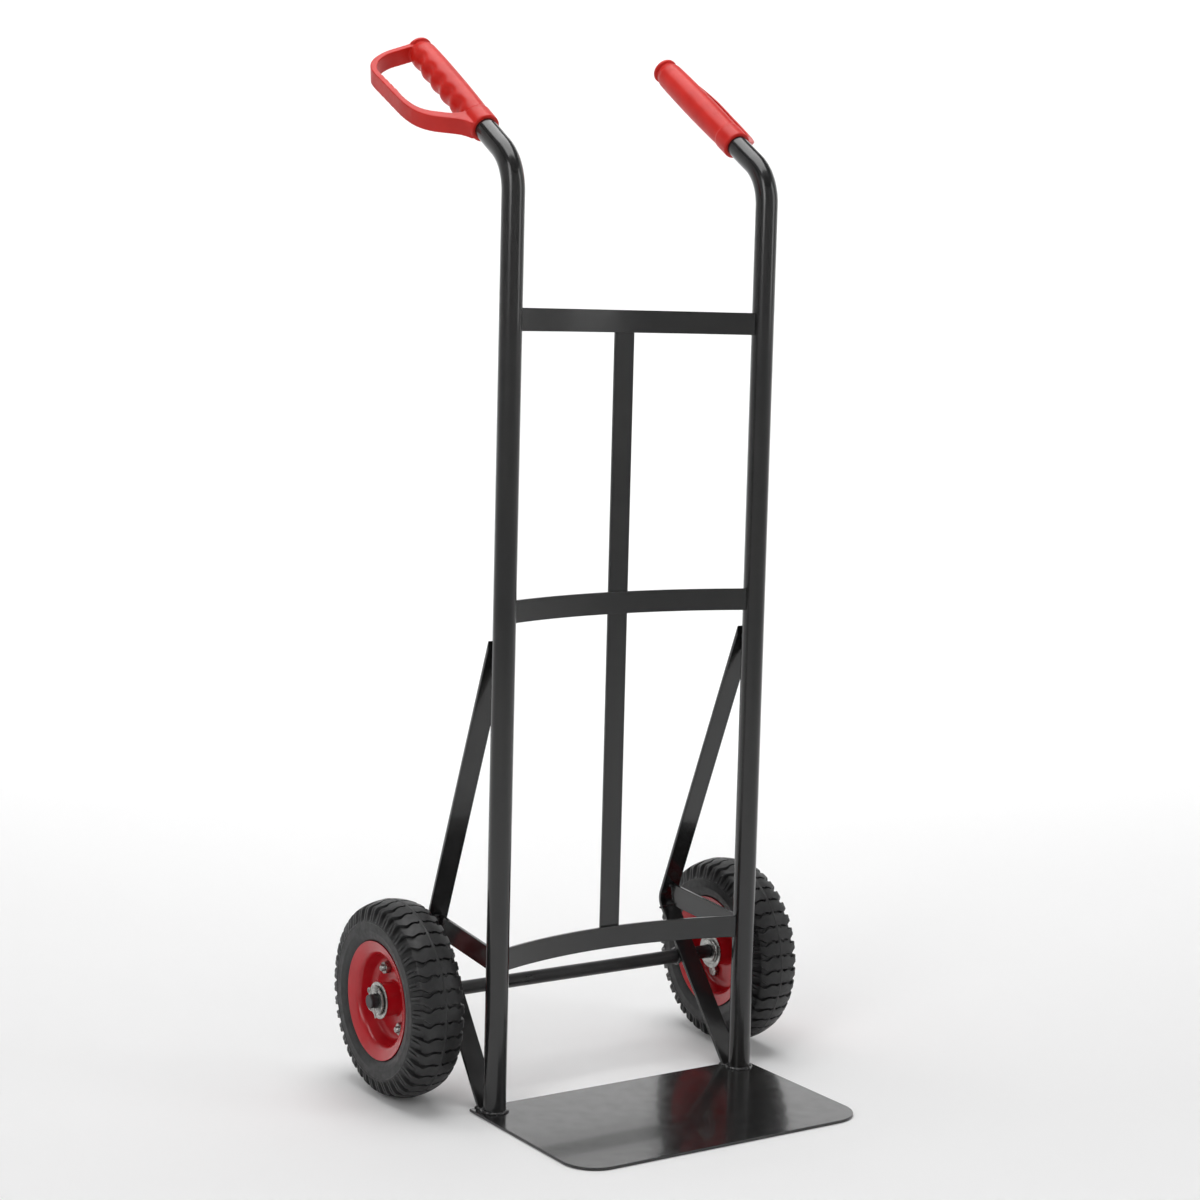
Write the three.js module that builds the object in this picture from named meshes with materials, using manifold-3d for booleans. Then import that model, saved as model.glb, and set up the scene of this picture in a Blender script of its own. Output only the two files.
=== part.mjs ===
import * as THREE from 'three';
import { mergeVertices } from 'three/addons/utils/BufferGeometryUtils.js';
import Module from 'manifold-3d';

// Upright hand truck with two pneumatic wheels. Millimetres, +Z up, the toe plate points to -Y.
// The origin is on the floor, midway between the uprights.

const GAP = 0.3;

const TUBE_R = 12.7;
const TUBE_WALL = 1.6;
const HALF_SPAN = 167.7;
const BEND_R = 57;
const BEND_START_Z = 1008;
const GRIP_RISE = THREE.MathUtils.degToRad(32);
const BEND_TURN = Math.PI / 2 - GRIP_RISE;

const PLATE_W = 377;
const PLATE_D = 232.5;
const PLATE_T = 3;
const PLATE_BACK_Y = 19.5;
const PLATE_CORNER_R = 38;

const BAR_H = 25;
const BAR_T = 4;
const RAIL_BOW = 28;
const RAIL_Z = { top_rail: 874.5, middle_rail: 559.5, lower_rail: 173.7 };

const AXLE_R = 8;
const AXLE_END = 266;
const WHEEL_X = 229;
const WHEEL_R = 111.4;
const AXLE_Y = 114.2;
const AXLE_Z = WHEEL_R;

const FOOT = [13.2, PLATE_T + GAP];
const ELBOW = [148.5, 174.7];
const STRUT_TOP_Z = 516.6;
const ELBOW_R = 16;
const BRACKET_YAW = THREE.MathUtils.degToRad(2);

const HUB_R = 19;
const HUB_HALF = 23.5;
const RIM_R = 66.7;
const BOLT_CIRCLE_R = 36;
const BOLT_COUNT = 4;
const BOLT_TURN = THREE.MathUtils.degToRad(30);
const BOLT_R = 4;
const BOLT_FLATS = 13;
const WEB_FACE = 2.5;
const VALVE_X = -9;
const VALVE_TURN = THREE.MathUtils.degToRad(75);
const BEARING_FACE = 27.5;
const SPLIT_PIN_X = 31.6;
const PIN_WIRE_R = 0.8;

const GRIP_START = [60, 1077];
const GRIP_LENGTH = 178;
const GRIP_R = 16.8;
const TUBE_SHORT_OF_CAP = 14;
const GUARD_TILT = { left: THREE.MathUtils.degToRad(18), right: THREE.MathUtils.degToRad(24) };
const GUARD_W = 20;

const wasm = await Module();
wasm.setup();

const finish = {
  blackPaint: { color: 0x161617, roughness: 0.28, metalness: 0.35 },
  axleBlack: { color: 0x1b1b1c, roughness: 0.4, metalness: 0.5 },
  redPlastic: { color: 0xc23a30, roughness: 0.5, metalness: 0.0 },
  redPaint: { color: 0xb01722, roughness: 0.25, metalness: 0.2 },
  zinc: { color: 0xb9bab5, roughness: 0.35, metalness: 0.9 },
  tyreRubber: { color: 0x232324, roughness: 0.8, metalness: 0.0 },
  tubeRubber: { color: 0x1a1a1a, roughness: 0.7, metalness: 0.0 },
};

const group = new THREE.Group();
group.name = 'hand_truck';

function addPart(parent, name, geometry, look) {
  const mesh = new THREE.Mesh(geometry, new THREE.MeshStandardMaterial(finish[look]));
  mesh.name = name;
  parent.add(mesh);
  return mesh;
}

function toSolid(geometry) {
  const bare = geometry.clone();
  bare.deleteAttribute('normal');
  bare.deleteAttribute('uv');
  const merged = mergeVertices(bare, 1e-4);
  return new wasm.Manifold(new wasm.Mesh({
    numProp: 3,
    vertProperties: new Float32Array(merged.attributes.position.array),
    triVerts: new Uint32Array(merged.index.array),
  }));
}

function toGeometry(solid) {
  const mesh = solid.getMesh();
  const geometry = new THREE.BufferGeometry();
  geometry.setAttribute('position', new THREE.BufferAttribute(mesh.vertProperties, 3));
  geometry.setIndex(new THREE.BufferAttribute(mesh.triVerts, 1));
  geometry.computeVertexNormals();
  return geometry;
}

function extruded(shape, depth, curveSegments = 6) {
  return new THREE.ExtrudeGeometry(shape, { depth, bevelEnabled: false, curveSegments });
}

// A closed ring from [radius, axial] pairs, turned about X.
function turnedAboutX(profile, segments) {
  const points = profile.map(([r, x]) => new THREE.Vector2(r, x));
  points.push(points[0].clone());
  const geometry = new THREE.LatheGeometry(points, segments);
  geometry.rotateZ(-Math.PI / 2);
  return geometry;
}

// A round bar or drill along X, centred on the origin.
function rodX(radius, length, segments = 24) {
  const geometry = new THREE.CylinderGeometry(radius, radius, length, segments);
  geometry.rotateZ(Math.PI / 2);
  return geometry;
}

// The same solid with its faces turned outwards, whichever way its outline was drawn.
function outwardSolid(geometry) {
  const solid = toSolid(geometry);
  if (solid.volume() > 0) return solid;
  const order = geometry.index.array;
  for (let i = 0; i < order.length; i += 3) {
    const keep = order[i];
    order[i] = order[i + 2];
    order[i + 2] = keep;
  }
  return toSolid(geometry);
}

// Toe plate: flat steel, square back corners and large rounded front corners.
function toePlate() {
  const half = PLATE_W / 2;
  const front = PLATE_BACK_Y - PLATE_D;
  const shape = new THREE.Shape();
  shape.moveTo(-half, PLATE_BACK_Y);
  shape.lineTo(-half, front + PLATE_CORNER_R);
  const arcY = front + PLATE_CORNER_R;
  shape.absarc(-half + PLATE_CORNER_R, arcY, PLATE_CORNER_R, Math.PI, Math.PI * 1.5);
  shape.absarc(half - PLATE_CORNER_R, arcY, PLATE_CORNER_R, Math.PI * 1.5, 0);
  shape.lineTo(half, PLATE_BACK_Y);
  shape.closePath();
  return extruded(shape, PLATE_T, 10);
}

// Centre line of an upright: straight, then bent back, then straight to the end inside the grip.
function uprightPoints(extra) {
  const points = [new THREE.Vector3(0, 0, PLATE_T + GAP - extra)];
  const steps = 6;
  for (let i = 0; i <= steps; i += 1) {
    const a = BEND_TURN * i / steps;
    points.push(new THREE.Vector3(0, BEND_R * (1 - Math.cos(a)), BEND_START_Z + BEND_R * Math.sin(a)));
  }
  const reach = GRIP_LENGTH - TUBE_SHORT_OF_CAP + extra;
  points.push(new THREE.Vector3(
    0,
    GRIP_START[0] + reach * Math.cos(GRIP_RISE),
    GRIP_START[1] + reach * Math.sin(GRIP_RISE),
  ));
  return points;
}

// Sweeps a circle along points in the YZ plane, with true mitred sections.
function sweptTube(points, radius, sides) {
  const position = [];
  const index = [];
  const count = points.length;
  for (let i = 0; i < count; i += 1) {
    const before = points[Math.max(i - 1, 0)];
    const after = points[Math.min(i + 1, count - 1)];
    const inDir = points[i].clone().sub(before).normalize();
    const outDir = after.clone().sub(points[i]).normalize();
    if (i === 0) inDir.copy(outDir);
    if (i === count - 1) outDir.copy(inDir);
    const along = inDir.clone().add(outDir).normalize();
    const stretch = 1 / along.dot(inDir);
    const up = new THREE.Vector3(0, -along.z, along.y);
    for (let k = 0; k < sides; k += 1) {
      const a = 2 * Math.PI * k / sides;
      const p = points[i].clone();
      p.x += radius * Math.cos(a);
      p.addScaledVector(up, radius * stretch * Math.sin(a));
      position.push(p.x, p.y, p.z);
    }
  }
  for (let i = 0; i < count - 1; i += 1) {
    for (let k = 0; k < sides; k += 1) {
      const a = i * sides + k;
      const b = i * sides + (k + 1) % sides;
      index.push(a, a + sides, b, b, a + sides, b + sides);
    }
  }
  for (let k = 1; k < sides - 1; k += 1) {
    index.push(0, k, k + 1);
    const top = (count - 1) * sides;
    index.push(top, top + k + 1, top + k);
  }
  const geometry = new THREE.BufferGeometry();
  geometry.setAttribute('position', new THREE.Float32BufferAttribute(position, 3));
  geometry.setIndex(index);
  return geometry;
}

// Upright: one length of round tube, open at both ends.
function upright() {
  const outside = outwardSolid(sweptTube(uprightPoints(0), TUBE_R, 18));
  const inside = outwardSolid(sweptTube(uprightPoints(5), TUBE_R - TUBE_WALL, 18));
  return toGeometry(outside.subtract(inside));
}

// Cross rail: flat bar on edge, bowed back between the uprights.
function rail() {
  const endClearance = 1.1;
  const half = HALF_SPAN - TUBE_R - endClearance;
  const radius = (half * half + RAIL_BOW * RAIL_BOW) / (2 * RAIL_BOW);
  const centreY = RAIL_BOW - radius;
  const sweep = Math.asin(half / radius);
  const shape = new THREE.Shape();
  const outer = radius + BAR_T / 2;
  const inner = radius - BAR_T / 2;
  shape.absarc(0, centreY, outer, Math.PI / 2 - sweep, Math.PI / 2 + sweep, false);
  shape.absarc(0, centreY, inner, Math.PI / 2 + sweep, Math.PI / 2 - sweep, true);
  shape.closePath();
  const geometry = extruded(shape, BAR_H, 10);
  geometry.translate(0, 0, -BAR_H / 2);
  return geometry;
}

// Centre bar: flat bar standing behind the three rails.
function centreBar() {
  const insetFromRailEdge = 2;
  const low = RAIL_Z.lower_rail - BAR_H / 2 + insetFromRailEdge;
  const high = RAIL_Z.top_rail + BAR_H / 2 - insetFromRailEdge;
  const geometry = new THREE.BoxGeometry(BAR_H, BAR_T, high - low);
  geometry.translate(0, RAIL_BOW + BAR_T + GAP, (high + low) / 2);
  return geometry;
}

// A flat bar with its width along X, from its side outline of [y, z] points.
function barFromSide(outline, width) {
  const shape = new THREE.Shape(outline.map(([y, z]) => new THREE.Vector2(y, z)));
  const geometry = extruded(shape, width);
  geometry.translate(0, 0, -width / 2);
  geometry.rotateY(Math.PI / 2);
  geometry.rotateX(Math.PI / 2);
  return geometry;
}

function unit(from, to) {
  const length = Math.hypot(to[0] - from[0], to[1] - from[1]);
  return [(to[0] - from[0]) / length, (to[1] - from[1]) / length];
}

function along(point, direction, distance) {
  return [point[0] + direction[0] * distance, point[1] + direction[1] * distance];
}

const downBack = unit([TUBE_R + GAP, STRUT_TOP_Z], ELBOW);
const downFront = unit(ELBOW, FOOT);
const upperBehind = [-downBack[1], downBack[0]];
const lowerBehind = [-downFront[1], downFront[0]];
const elbowTurn = Math.acos(downBack[0] * downFront[0] + downBack[1] * downFront[1]);
const tangent = ELBOW_R * Math.tan(elbowTurn / 2);

// Upper strut: flat bar from the back of the upright down to the elbow, with the bend in it.
function upperStrut() {
  const top = [TUBE_R + GAP, STRUT_TOP_Z];
  const bendStart = along(ELBOW, downBack, -tangent);
  const centre = along(bendStart, upperBehind, -ELBOW_R);
  const startAngle = Math.atan2(upperBehind[1], upperBehind[0]);
  const front = [top];
  const back = [[top[0], top[1] + BAR_T / downBack[0]]];
  const steps = 6;
  for (let i = 0; i <= steps; i += 1) {
    const a = startAngle - elbowTurn * i / steps;
    front.push(along(centre, [Math.cos(a), Math.sin(a)], ELBOW_R));
    back.push(along(centre, [Math.cos(a), Math.sin(a)], ELBOW_R + BAR_T));
  }
  return barFromSide([...front, ...back.reverse()], BAR_H);
}

// Lower strut: flat bar from the elbow down to the heel of the toe plate.
function lowerStrut() {
  const start = along(ELBOW, downFront, tangent + GAP);
  const startBack = along(start, lowerBehind, BAR_T);
  const footBack = [FOOT[0] + BAR_T / lowerBehind[0], FOOT[1]];
  return barFromSide([start, FOOT, footBack, startBack], BAR_H);
}

// Tie bar: flat bar on edge from the elbow forward to the upright, its back lower corner rounded.
function tieBar() {
  const outline = [[FOOT[0], 184], [FOOT[0], 158], [112, 166.6]];
  const corner = [120, 187.4];
  const cornerR = 20;
  const steps = 5;
  for (let i = 0; i <= steps; i += 1) {
    const a = -Math.PI / 2 + 0.09 + i * (Math.PI / 2 - 0.05) / steps;
    outline.push(along(corner, [Math.cos(a), Math.sin(a)], cornerR));
  }
  outline.push([138.6, 195]);
  return barFromSide(outline, BAR_T);
}

// Axle: plain round bar with a cross hole for the split pin near each end.
function axle() {
  let bar = toSolid(rodX(AXLE_R, 2 * AXLE_END, 32));
  for (const side of [-1, 1]) {
    const drill = new THREE.CylinderGeometry(2.2, 2.2, 5 * AXLE_R, 12);
    drill.rotateX(Math.PI / 2);
    drill.translate(side * (WHEEL_X + SPLIT_PIN_X), 0, 0);
    bar = bar.subtract(toSolid(drill));
  }
  return toGeometry(bar);
}

// Split pin: bent half-round wire, a round head above the axle and two splayed legs below it.
function splitPin() {
  const headR = 2.9;
  const headZ = 12.6;
  const headStart = -Math.PI / 3.4;
  const steps = 8;
  const points = [[4.6, -16.5], [1.6, -10.5], [1.0, -8.5], [1.0, 8.5], [1.4, 10]];
  for (let i = 0; i <= steps; i += 1) {
    const a = headStart + i * (Math.PI - 2 * headStart) / steps;
    points.push(along([0, headZ], [Math.cos(a), Math.sin(a)], headR));
  }
  points.push([-1.4, 10], [-1.0, 8.5], [-1.0, -8.5], [-1.6, -10.5], [-5.8, -14.5]);
  const line = points.map(([y, z]) => new THREE.Vector3(0, y, z));
  const path = new THREE.CatmullRomCurve3(line, false, 'catmullrom', 0.3);
  const section = new THREE.Shape();
  section.absarc(0, 0, PIN_WIRE_R, 0, Math.PI * 2);
  return new THREE.ExtrudeGeometry(section, { extrudePath: path, steps: 22, curveSegments: 3 });
}

// Grip, collar, closed end and knuckle guard: one moulding.
// Local Z runs up the grip, local X out to the guard.
function handle() {
  const collarR = 16.2;
  const capR = 15;
  const capTop = GRIP_LENGTH + 1;
  const grip = [
    [0, 0], [15.6, 0], [collarR, 1.2], [collarR, 22], [15.6, 24], [16.2, 30],
    [GRIP_R, 80], [GRIP_R, 130], [16.2, 160], [15.4, 169], [13.8, 174], [capR, 175],
    [capR, capTop - 1], [capR - 0.8, capTop], [0, capTop],
  ];
  const body = new THREE.LatheGeometry(grip.map(([r, z]) => new THREE.Vector2(r, z)), 24);
  body.rotateX(Math.PI / 2);
  const guard = new THREE.Shape();
  traceRounded(guard, [
    [-6, 2, 0], [15.5, 2, 0], [21, 12, 6], [58, 38, 15], [67, 66, 13],
    [73, 156, 17], [48, 173.5, 13], [10, 178.4, 0], [-6, 178.4, 0],
  ]);
  const opening = new THREE.Path();
  traceRounded(opening, [
    [0, 27, 0], [24, 27, 8], [54, 49, 12], [61, 72, 11],
    [67, 150, 15], [46, 167.5, 12], [0, 172.5, 0],
  ]);
  guard.holes.push(opening);
  const strap = extruded(guard, GUARD_W, 3);
  strap.translate(0, 0, -GUARD_W / 2);
  strap.rotateX(Math.PI / 2);
  let solid = outwardSolid(body).add(toSolid(strap));
  const scallopCount = 5;
  const firstScallop = 44;
  const scallopPitch = 25.5;
  for (let i = 0; i < scallopCount; i += 1) {
    const scallop = new THREE.SphereGeometry(1, 12, 8);
    scallop.scale(14, 26, 13.2);
    scallop.translate(GRIP_R + 11.2, 0, firstScallop + i * scallopPitch);
    solid = solid.subtract(toSolid(scallop));
  }
  const below = 4;
  const boreLength = GRIP_LENGTH - 2 * below;
  const bore = new THREE.CylinderGeometry(TUBE_R + GAP, TUBE_R + GAP, boreLength, 24);
  bore.rotateX(Math.PI / 2);
  bore.translate(0, 0, boreLength / 2 - below);
  return toGeometry(solid.subtract(toSolid(bore)));
}

// Traces a closed outline whose corners are cut by the third number and rounded.
function traceRounded(path, corners) {
  const count = corners.length;
  corners.forEach(([x, y, cut], i) => {
    const before = corners[(i + count - 1) % count];
    const after = corners[(i + 1) % count];
    const inward = along([x, y], unit([x, y], before), cut);
    const outward = along([x, y], unit([x, y], after), cut);
    if (i === 0) path.moveTo(inward[0], inward[1]);
    else path.lineTo(inward[0], inward[1]);
    if (cut > 0) path.quadraticCurveTo(x, y, outward[0], outward[1]);
  });
  path.closePath();
}

// Tyre: open-bellied carcass with a rounded tread crown and bulged side walls.
function tyre() {
  const outside = [
    [56.6, 14.5], [57, 20], [65.8, 23.8], [69.2, 27.2], [80, 31],
    [96, 30.2], [106, 24.5], [WHEEL_R, 9],
  ];
  const inside = [[103.4, 0], [98, 19], [84, 24.8], [62, 15.8]];
  const profile = [
    ...outside,
    ...outside.map(([r, x]) => [r, -x]).reverse(),
    ...inside.map(([r, x]) => [r, -x]).reverse(),
    ...inside.slice(1),
  ];
  return toGeometry(outwardSolid(turnedAboutX(profile, 36)));
}

// Inner tube: hollow rubber ring with the hole that the valve stands under.
function innerTube() {
  const right = [[55.4, 11], [66, 15.8], [84, 23], [94, 17.5], [100, 5]];
  const middle = 78.5;
  const wall = 1.8;
  const skin = (inset) => {
    const shrink = ([r, x]) => [r + Math.sign(middle - r) * inset, x - Math.sign(x) * inset];
    return [...right, ...right.map(([r, x]) => [r, -x]).reverse()].map(shrink);
  };
  const outside = outwardSolid(turnedAboutX(skin(0), 24));
  const inside = outwardSolid(turnedAboutX(skin(wall), 24));
  const drill = new THREE.CylinderGeometry(1.2, 1.2, 10, 12);
  drill.rotateX(Math.PI / 2);
  drill.translate(VALVE_X, 0, right[0][0]);
  return toGeometry(outside.subtract(inside).subtract(toSolid(drill)));
}

// Valve: short rubber stem with its cap, standing inward through the inner rim half.
function valve() {
  const profile = [
    [0, 36], [2.8, 36], [3.2, 37], [3.2, 44], [2.6, 44.6],
    [2.6, 47], [3.3, 48], [3.3, 54.2], [0, 54.2],
  ];
  const geometry = new THREE.LatheGeometry(profile.map(([r, z]) => new THREE.Vector2(r, z)), 12);
  geometry.rotateX(Math.PI / 2);
  geometry.translate(VALVE_X, 0, 0);
  return toGeometry(outwardSolid(geometry));
}

function boltAngle(i) {
  return BOLT_TURN + 2 * Math.PI * i / BOLT_COUNT;
}

// Rim half: pressed steel dish with flange, bead seat, well and a drilled web.
function rimHalf(side) {
  const profile = [
    [HUB_R + GAP, 2.2], [44, 2.2], [48.4, 5], [51.8, 20.4], [54.6, 24], [RIM_R, 28.2],
    [RIM_R, 26.2], [56, 22.4], [53.6, 19.8], [50.4, 4], [45.4, 0.2], [HUB_R + GAP, 0.2],
  ];
  let dish = outwardSolid(turnedAboutX(profile.map(([r, x]) => [r, side * x]), 36));
  for (let i = 0; i < BOLT_COUNT; i += 1) {
    const drill = rodX(BOLT_R + GAP, 20, 12);
    drill.translate(0, 0, BOLT_CIRCLE_R);
    drill.rotateX(boltAngle(i));
    dish = dish.subtract(toSolid(drill));
  }
  if (side < 0) {
    const drill = new THREE.CylinderGeometry(3.7, 3.7, 16, 12);
    drill.rotateX(Math.PI / 2);
    drill.translate(VALVE_X, 0, 50);
    drill.rotateX(VALVE_TURN);
    dish = dish.subtract(toSolid(drill));
  }
  return toGeometry(dish);
}

// Hub tube: plain steel tube through both webs.
function hubTube() {
  const inner = HUB_R - 2.5;
  const profile = [[HUB_R, -HUB_HALF], [HUB_R, HUB_HALF], [inner, HUB_HALF], [inner, -HUB_HALF]];
  return toGeometry(outwardSolid(turnedAboutX(profile, 24)));
}

// Bearing: plated cup pressed in the hub end, its lip over the tube and a raised race round the axle.
function bearing() {
  const bore = AXLE_R + 0.1;
  const lip = HUB_HALF + GAP;
  const profile = [
    [16.1, 12], [16.1, lip], [21, lip], [21, lip + 1.4], [14, lip + 1.4],
    [13.4, lip + 2.4], [bore, lip + 2.4], [bore, 12],
  ];
  return toGeometry(outwardSolid(turnedAboutX(profile, 24)));
}

function washer(radius, thickness) {
  const bore = AXLE_R + 0.3;
  const profile = [[radius, 0], [radius, thickness], [bore, thickness], [bore, 0]];
  return toGeometry(outwardSolid(turnedAboutX(profile, 20)));
}

function hexagon(flats, height, holeR) {
  const shape = new THREE.Shape();
  for (let i = 0; i < 6; i += 1) {
    const a = Math.PI / 6 + i * Math.PI / 3;
    const r = flats / Math.sqrt(3);
    if (i === 0) shape.moveTo(r * Math.cos(a), r * Math.sin(a));
    else shape.lineTo(r * Math.cos(a), r * Math.sin(a));
  }
  shape.closePath();
  if (holeR > 0) {
    const hole = new THREE.Path();
    hole.absarc(0, 0, holeR, 0, Math.PI * 2, true);
    shape.holes.push(hole);
  }
  const geometry = extruded(shape, height, 4);
  geometry.rotateY(Math.PI / 2);
  return geometry;
}

// Rim bolt: hexagon head on the inner web, shank through both webs towards the outside.
function rimBolt() {
  const headHeight = 5.3;
  const head = hexagon(BOLT_FLATS, headHeight, 0);
  head.translate(-WEB_FACE - headHeight, 0, 0);
  const shankEnd = 12.5;
  const shankStart = -WEB_FACE - 0.1;
  const shank = rodX(BOLT_R, shankEnd - shankStart, 12);
  shank.translate((shankEnd + shankStart) / 2, 0, 0);
  return toGeometry(outwardSolid(head).add(toSolid(shank)));
}

function rimNut() {
  const geometry = hexagon(BOLT_FLATS, 6.4, BOLT_R + GAP);
  geometry.translate(WEB_FACE, 0, 0);
  return toGeometry(outwardSolid(geometry));
}

function addFrame() {
  addPart(group, 'toe_plate', toePlate(), 'blackPaint');
  for (const [name, z] of Object.entries(RAIL_Z)) {
    addPart(group, name, rail(), 'blackPaint').position.set(0, 0, z);
  }
  addPart(group, 'centre_bar', centreBar(), 'blackPaint');
  addPart(group, 'axle', axle(), 'axleBlack').position.set(0, AXLE_Y, AXLE_Z);
}

function addSide(label, side) {
  addPart(group, `${label}_upright`, upright(), 'blackPaint').position.set(side * HALF_SPAN, 0, 0);
  const bracket = new THREE.Group();
  bracket.position.set(side * HALF_SPAN, 0, 0);
  bracket.rotation.set(0, 0, side * BRACKET_YAW);
  addPart(bracket, `${label}_upper_strut`, upperStrut(), 'blackPaint');
  addPart(bracket, `${label}_lower_strut`, lowerStrut(), 'blackPaint');
  addPart(bracket, `${label}_tie_bar`, tieBar(), 'blackPaint');
  group.add(bracket);

  const up = new THREE.Vector3(0, Math.cos(GRIP_RISE), Math.sin(GRIP_RISE));
  const across = new THREE.Vector3(
    side * Math.cos(GUARD_TILT[label]),
    Math.sin(GUARD_TILT[label]) * Math.sin(GRIP_RISE),
    -Math.sin(GUARD_TILT[label]) * Math.cos(GRIP_RISE),
  );
  const third = new THREE.Vector3().crossVectors(up, across);
  const grip = addPart(group, `${label}_handle`, handle(), 'redPlastic');
  grip.setRotationFromMatrix(new THREE.Matrix4().makeBasis(across, third, up));
  grip.position.set(side * HALF_SPAN, GRIP_START[0], GRIP_START[1]);

  const ends = new THREE.Group();
  ends.position.set(side * WHEEL_X, AXLE_Y, AXLE_Z);
  const inner = { radius: 14, thickness: 2 };
  const outer = { radius: 15.6, thickness: 1.8 };
  addPart(ends, `${label}_inner_washer`, washer(inner.radius, inner.thickness), 'zinc')
    .position.x = -side * BEARING_FACE - inner.thickness / 2;
  addPart(ends, `${label}_outer_washer`, washer(outer.radius, outer.thickness), 'zinc')
    .position.x = side * BEARING_FACE - outer.thickness / 2;
  addPart(ends, `${label}_split_pin`, splitPin(), 'zinc').position.x = side * SPLIT_PIN_X;
  group.add(ends);
}

function addWheel(label, side) {
  const wheel = new THREE.Group();
  wheel.position.set(side * WHEEL_X, AXLE_Y, AXLE_Z);
  wheel.rotation.set(0, 0, side < 0 ? Math.PI : 0);
  addPart(wheel, `${label}_tyre`, tyre(), 'tyreRubber');
  addPart(wheel, `${label}_inner_tube`, innerTube(), 'tubeRubber').rotation.x = VALVE_TURN;
  addPart(wheel, `${label}_valve`, valve(), 'tubeRubber').rotation.x = VALVE_TURN;
  addPart(wheel, `${label}_outer_rim`, rimHalf(1), 'redPaint');
  addPart(wheel, `${label}_inner_rim`, rimHalf(-1), 'redPaint');
  addPart(wheel, `${label}_hub_tube`, hubTube(), 'redPaint');
  addPart(wheel, `${label}_outer_bearing`, bearing(), 'zinc');
  addPart(wheel, `${label}_inner_bearing`, bearing(), 'zinc').rotation.z = Math.PI;
  for (let i = 0; i < BOLT_COUNT; i += 1) {
    const turn = boltAngle(i);
    const place = (mesh) => {
      mesh.rotation.x = turn;
      mesh.position.set(0, -BOLT_CIRCLE_R * Math.sin(turn), BOLT_CIRCLE_R * Math.cos(turn));
    };
    place(addPart(wheel, `${label}_rim_bolt_${i + 1}`, rimBolt(), 'zinc'));
    place(addPart(wheel, `${label}_rim_nut_${i + 1}`, rimNut(), 'zinc'));
  }
  return wheel;
}

addFrame();
for (const [label, side] of [['left', -1], ['right', 1]]) {
  addSide(label, side);
  group.add(addWheel(label, side));
}

export default group;
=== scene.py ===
import math

import bmesh
import bpy
from mathutils import Matrix, Vector


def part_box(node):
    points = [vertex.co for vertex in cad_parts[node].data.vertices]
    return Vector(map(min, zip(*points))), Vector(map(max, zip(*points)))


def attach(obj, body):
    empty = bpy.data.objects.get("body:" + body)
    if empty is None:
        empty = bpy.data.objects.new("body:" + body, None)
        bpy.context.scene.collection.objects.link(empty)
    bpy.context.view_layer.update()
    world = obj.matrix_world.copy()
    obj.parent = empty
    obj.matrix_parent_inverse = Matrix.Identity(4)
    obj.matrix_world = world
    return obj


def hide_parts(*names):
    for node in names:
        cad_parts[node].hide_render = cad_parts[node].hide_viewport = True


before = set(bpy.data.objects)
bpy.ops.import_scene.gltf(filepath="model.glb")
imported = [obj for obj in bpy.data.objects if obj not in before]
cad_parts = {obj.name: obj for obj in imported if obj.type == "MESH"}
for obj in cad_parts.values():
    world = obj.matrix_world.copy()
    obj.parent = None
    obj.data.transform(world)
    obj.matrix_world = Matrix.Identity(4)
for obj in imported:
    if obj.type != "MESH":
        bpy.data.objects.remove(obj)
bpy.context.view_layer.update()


# Toe plate. A flat steel plate with two large rounded front corners and square back corners.
# It is sheared, its edges are eased, and it is powder coated gloss black with the rest of the frame.
def begin():
    """Leaves edit mode and deselects everything, as before each new piece."""
    if bpy.context.mode != "OBJECT":
        bpy.ops.object.mode_set(mode="OBJECT")
    bpy.ops.object.select_all(action="DESELECT")


def settle(piece, place=None):
    """Puts the piece's place into its mesh, so that its object sits at the origin."""
    if place is not None:
        piece.matrix_world = place @ piece.matrix_world
    bpy.ops.object.transform_apply(location=True, rotation=True, scale=True)


def pick_edges(piece, wanted):
    """In edit mode, selects the edges whose two ends pass the test."""
    bpy.ops.mesh.select_mode(type="EDGE")
    bpy.ops.mesh.select_all(action="DESELECT")
    mesh = bmesh.from_edit_mesh(piece.data)
    for edge in mesh.edges:
        edge.select_set(wanted(edge.verts[0].co, edge.verts[1].co))
    bmesh.update_edit_mesh(piece.data)


def ease_edges(piece, width, segments=2, angle=32):
    """Rounds every sharp edge, keeping the flat faces flat in the shading."""
    bpy.ops.object.shade_smooth_by_angle(angle=math.radians(angle))
    bevel = piece.modifiers.new("eased", "BEVEL")
    bevel.width = width
    bevel.segments = segments
    bevel.limit_method = "ANGLE"
    bevel.angle_limit = math.radians(angle)
    bevel.harden_normals = True
    bpy.ops.object.modifier_apply(modifier="eased")


def new_finish(name, roughness, metallic=0.0, coat=0.0, coat_roughness=0.1):
    """A material with its own shader, and a set of coordinates that ride with the piece."""
    finish = bpy.data.materials.new(name)
    finish.use_nodes = True
    nodes = finish.node_tree.nodes
    shader = nodes["Principled BSDF"]
    shader.inputs["Roughness"].default_value = roughness
    shader.inputs["Metallic"].default_value = metallic
    shader.inputs["Coat Weight"].default_value = coat
    shader.inputs["Coat Roughness"].default_value = coat_roughness
    nodes.new("ShaderNodeTexCoord").name = "place"
    return finish


def noise(finish, scale, detail=3.0, stretch=(1, 1, 1)):
    """Noise in the piece's own coordinates, per metre."""
    nodes, links = finish.node_tree.nodes, finish.node_tree.links
    mapping = nodes.new("ShaderNodeMapping")
    mapping.inputs["Scale"].default_value = stretch
    texture = nodes.new("ShaderNodeTexNoise")
    texture.inputs["Scale"].default_value = scale
    texture.inputs["Detail"].default_value = detail
    links.new(nodes["place"].outputs["Object"], mapping.inputs["Vector"])
    links.new(mapping.outputs["Vector"], texture.inputs["Vector"])
    return texture.outputs["Fac"]


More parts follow.
